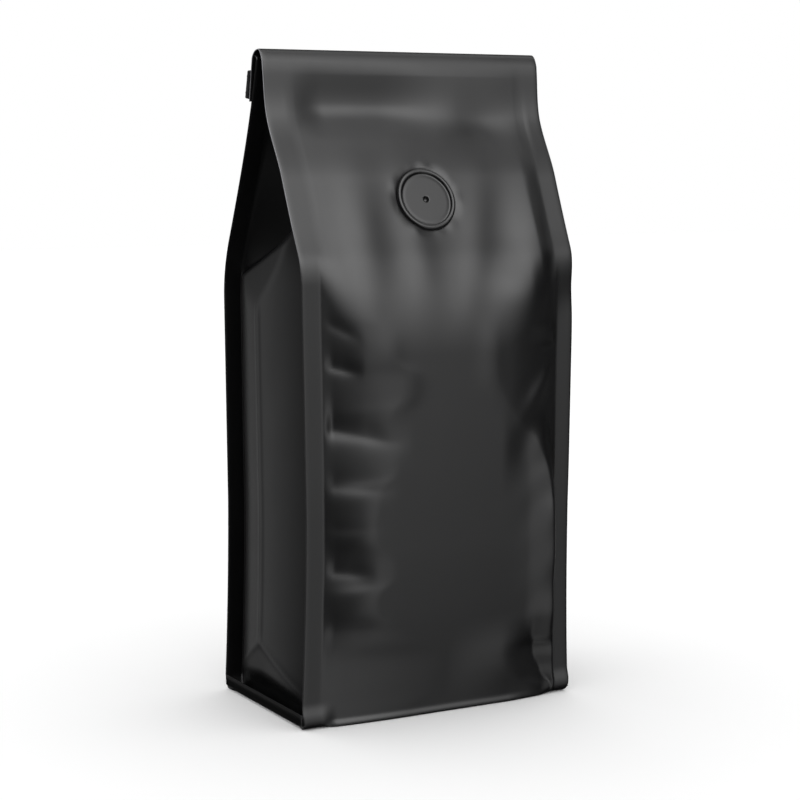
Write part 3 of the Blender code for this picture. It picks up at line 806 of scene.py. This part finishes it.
def makeFloor():
    reach = 3.0
    corners = [(-reach, -reach, 0), (reach, -reach, 0), (reach, reach, 0), (-reach, reach, 0)]
    mesh = meshFromFaces("floor", corners, [(0, 1, 2, 3)])
    obj = bpy.data.objects.new("floor", mesh)
    scene.collection.objects.link(obj)
    material, _, shader = newMaterial("floor")
    shader.inputs["Base Color"].default_value = (0.95, 0.95, 0.95, 1)
    shader.inputs["Roughness"].default_value = 0.9
    shader.inputs["Specular IOR Level"].default_value = 0.0
    mesh.materials.append(material)
    obj.visible_glossy = False


makeFloor()

studio = dict(
    diffuse=1.15, backdrop=1.0, base=0.015, dome=(35, 85, 1.2),
    # lights seen in the film: azimuth from the front towards +X, half width, soft edge, then elevation and strength
    beams=(
        (24, 11, 12, ((-90, 2.2), (-75, 2.0), (-62, 1.2), (-50, 0.60), (-40, 0.52), (-28, 0.62), (-14, 0.68),
                      (-5, 0.78), (0, 0.98), (8, 1.5), (20, 2.3), (30, 2.5), (45, 2.2), (60, 2.3), (90, 2.0))),
        (7, 4, 9, ((-44, 0.0), (-30, 1.20), (-6, 1.20), (4, 0.40), (12, 0.0))),
        (-5, 15, 40, ((0, 0.0), (10, 0.6), (24, 3.2), (36, 3.6), (45, 3.2), (70, 3.4), (90, 2.4))),
        (-20, 14, 12, ((-30, 0.10), (10, 0.35), (50, 0.8))),
        (152, 12, 30, ((-24, 0.0), (-15, 1.00), (-8, 0.95), (0, 0.60), (10, 0.28), (20, 0.0))),
        (220, 6, 30, ((-24, 0.0), (-15, 0.62), (-8, 0.60), (0, 0.45), (10, 0.22), (20, 0.0))),
        (240, 10, 30, ((-24, 0.0), (-14, 0.14), (0, 0.12), (10, 0.08), (20, 0.0))),
        (80, 22, 20, ((-24, 0.0), (-14, 0.13), (-8, 0.09), (0, 0.02), (8, 0.0))),
        (90, 12, 20, ((15, 0.0), (60, 1.6))),
    ),
)


def makeWorld():
    world = bpy.data.worlds.new("studio")
    scene.world = world
    world.use_nodes = True
    tree = world.node_tree
    tree.nodes.clear()
    new, link = tree.nodes.new, tree.links.new
    out = new("ShaderNodeOutputWorld")
    coords = new("ShaderNodeTexCoord")
    split = new("ShaderNodeSeparateXYZ")
    link(coords.outputs["Generated"], split.inputs[0])

    def calc(operation, *values):
        node = new("ShaderNodeMath")
        node.operation = operation
        for socket, value in zip(node.inputs, values):
            if isinstance(value, (int, float)):
                socket.default_value = value
            else:
                link(value, socket)
        return node.outputs[0]

    def ramp(value, low, high, outLow, outHigh):
        node = new("ShaderNodeMapRange")
        node.interpolation_type = "SMOOTHSTEP"
        link(value, node.inputs["Value"])
        for key, number in (("From Min", low), ("From Max", high), ("To Min", outLow), ("To Max", outHigh)):
            node.inputs[key].default_value = number
        return node.outputs["Result"]

    elevation = calc("ARCSINE", split.outputs["Z"])
    azimuth = calc("ARCTAN2", split.outputs["X"], calc("MULTIPLY", split.outputs["Y"], -1.0))

    def beam(centre, half, soft):
        away = calc("ABSOLUTE", calc("WRAP", calc("SUBTRACT", azimuth, math.radians(centre)), math.pi, -math.pi))
        return ramp(away, math.radians(half), math.radians(half + soft), 1.0, 0.0)

    def levels(stops):
        node = new("ShaderNodeValToRGB")
        node.color_ramp.interpolation = "LINEAR"
        elements = node.color_ramp.elements
        brightest = max(level for _, level in stops)
        while len(elements) < len(stops):
            elements.new(0.5)
        for element, (height, level) in zip(elements, stops):
            element.position = (height + 90) / 180
            element.color = (level / brightest,) * 3 + (1,)
        link(calc("ADD", calc("DIVIDE", elevation, math.pi), 0.5), node.inputs[0])
        return calc("MULTIPLY", node.outputs[0], brightest)

    total = studio["base"]
    for centre, half, soft, stops in studio["beams"]:
        total = calc("ADD", total, calc("MULTIPLY", levels(stops), beam(centre, half, soft)))
    low, high, strength = studio["dome"]
    total = calc("MAXIMUM", total, ramp(elevation, math.radians(low), math.radians(high), 0.0, strength))
    glossy, white, backdrop = (new("ShaderNodeBackground") for _ in range(3))
    for node in (glossy, white, backdrop):
        node.inputs["Color"].default_value = (1, 1, 1, 1)
    link(total, glossy.inputs["Strength"])
    white.inputs["Strength"].default_value = studio["diffuse"]
    backdrop.inputs["Strength"].default_value = studio["backdrop"]
    path = new("ShaderNodeLightPath")
    first, second = new("ShaderNodeMixShader"), new("ShaderNodeMixShader")
    link(path.outputs["Is Glossy Ray"], first.inputs[0])
    link(white.outputs[0], first.inputs[1])
    link(glossy.outputs[0], first.inputs[2])
    link(path.outputs["Is Camera Ray"], second.inputs[0])
    link(first.outputs[0], second.inputs[1])
    link(backdrop.outputs[0], second.inputs[2])
    link(second.outputs[0], out.inputs["Surface"])


makeWorld()

view = dict(place=(-0.3497, -0.6296, 0.1974), turn=29.15, dip=7.2, lens=91.2)


def makeCamera():
    data = bpy.data.cameras.new("camera")
    data.sensor_width = 36
    data.lens = view["lens"]
    obj = bpy.data.objects.new("camera", data)
    scene.collection.objects.link(obj)
    obj.location = view["place"]
    obj.rotation_euler = (math.radians(90 - view["dip"]), 0, -math.radians(view["turn"]))
    scene.camera = obj


makeCamera()
scene.view_settings.view_transform = "Standard"
